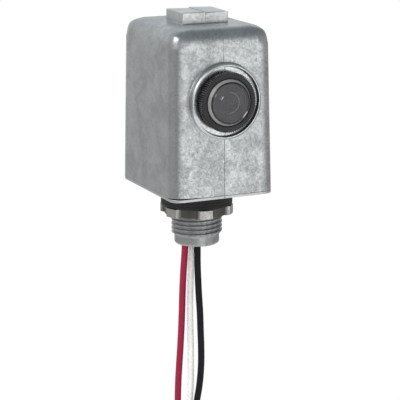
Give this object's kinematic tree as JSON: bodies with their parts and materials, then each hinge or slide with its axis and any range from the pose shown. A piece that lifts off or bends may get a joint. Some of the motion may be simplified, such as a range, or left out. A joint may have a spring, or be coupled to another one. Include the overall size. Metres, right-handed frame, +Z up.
{
  "type": "photocell switch",
  "caption": "Cast photocell light switch: drafted box with a collared knurled selector and smoked lens, on a threaded conduit stem with gasket, locknut and hanging leads.",
  "frame": {"origin": "on the stem's axis at the locknut's lower face, where the free thread starts", "axes": "+Z up the stem into the housing, -Y out of the lens, +X to the right seen from the lens side"},
  "size_m": [0.0448, 0.0601, 0.2579],
  "materials": {
    "zinc_housing": "satin as-cast zinc",
    "zinc_stem": "darker as-cast zinc",
    "zinc_nut": "bright as-cast zinc",
    "black_rubber": "matt rubber",
    "plated_steel": "zinc plated",
    "black_plastic": "moulded",
    "smoked_lens": "smoked, glossy",
    "board_laminate": "solder resist",
    "cell_resin": "clear resin over a ceramic",
    "relay_case": "moulded",
    "film_case": "moulded",
    "can_sleeve": "shrink sleeve",
    "varistor_coat": "dipped coating",
    "resistor_coat": "cement coating",
    "solder": "bright solder",
    "red_insulation": "soft insulation",
    "white_insulation": "soft insulation",
    "black_insulation": "soft insulation",
    "copper_strands": "bare copper"
  },
  "bodies": {
    "body": {"housing": "zinc_housing", "base_plate": "zinc_stem", "base_seal": "black_rubber", "base_screws": "plated_steel", "stem_gasket": "black_rubber", "locknut": "zinc_nut", "selector_seal": "black_rubber", "circuit_board": "board_laminate", "photocell": "cell_resin", "cell_spacer": "black_plastic", "relay": "relay_case", "mains_capacitor": "film_case", "smoothing_capacitor": "can_sleeve", "varistor": "varistor_coat", "dropper_resistor": "resistor_coat", "bleed_resistor": "resistor_coat", "rectifier_diode": "black_plastic", "zener_diode": "black_plastic", "coil_diode": "black_plastic", "transistor": "black_plastic", "solder_joints": "solder", "lead_joints": "solder", "lead_bush": "black_rubber", "red_lead": "red_insulation", "white_lead": "white_insulation", "black_lead": "black_insulation", "red_strands": "copper_strands", "white_strands": "copper_strands", "black_strands": "copper_strands"},
    "selector": {"selector_ring": "black_plastic", "lens": "smoked_lens", "light_mask": "black_plastic", "selector_clip": "plated_steel"}
  },
  "joints": [
    {"name": "selector_turn", "type": "hinge", "parent": "body", "child": "selector", "pos_m": [0, -0.0264, 0.0507], "axis": [0, -1, 0], "range_deg": [0, 180]}
  ]
}
